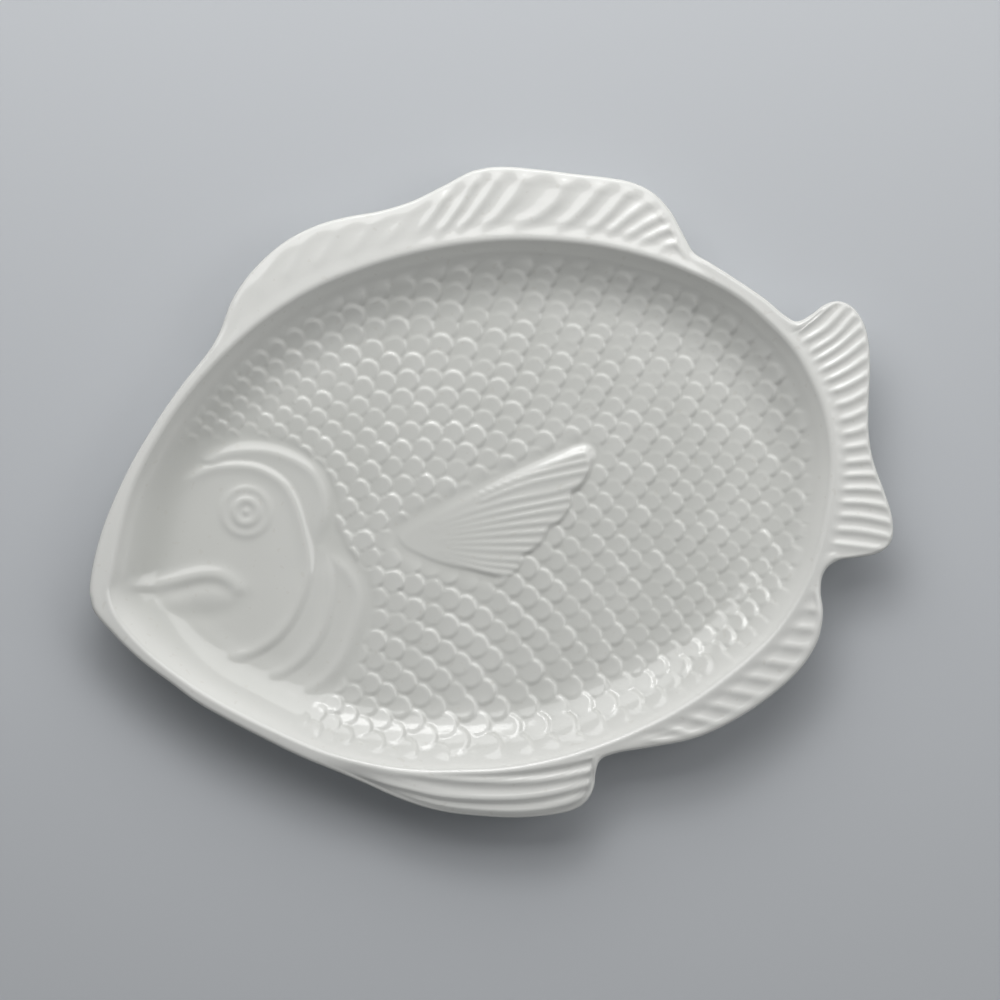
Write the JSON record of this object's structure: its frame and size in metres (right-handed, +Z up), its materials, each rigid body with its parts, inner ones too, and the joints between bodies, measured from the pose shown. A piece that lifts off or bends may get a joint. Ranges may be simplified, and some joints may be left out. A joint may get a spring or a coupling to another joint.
{
  "type": "fish shaped platter",
  "caption": "Serving platter in the shape of a fish: a wide oval well with scales, a head and a side fin in relief, and a rim that spreads into ribbed fins and a tail.",
  "frame": {"origin": "on the table under the middle of the platter's outline", "axes": "+X from the snout to the tail, +Y towards the back fin, +Z up out of the well"},
  "size_m": [0.38, 0.3027, 0.028],
  "materials": {
    "glazed_porcelain": "glossy",
    "bare_porcelain": "matte"
  },
  "bodies": {
    "root": {"platter_body": "glazed_porcelain", "bare_foot": "bare_porcelain"}
  },
  "joints": []
}
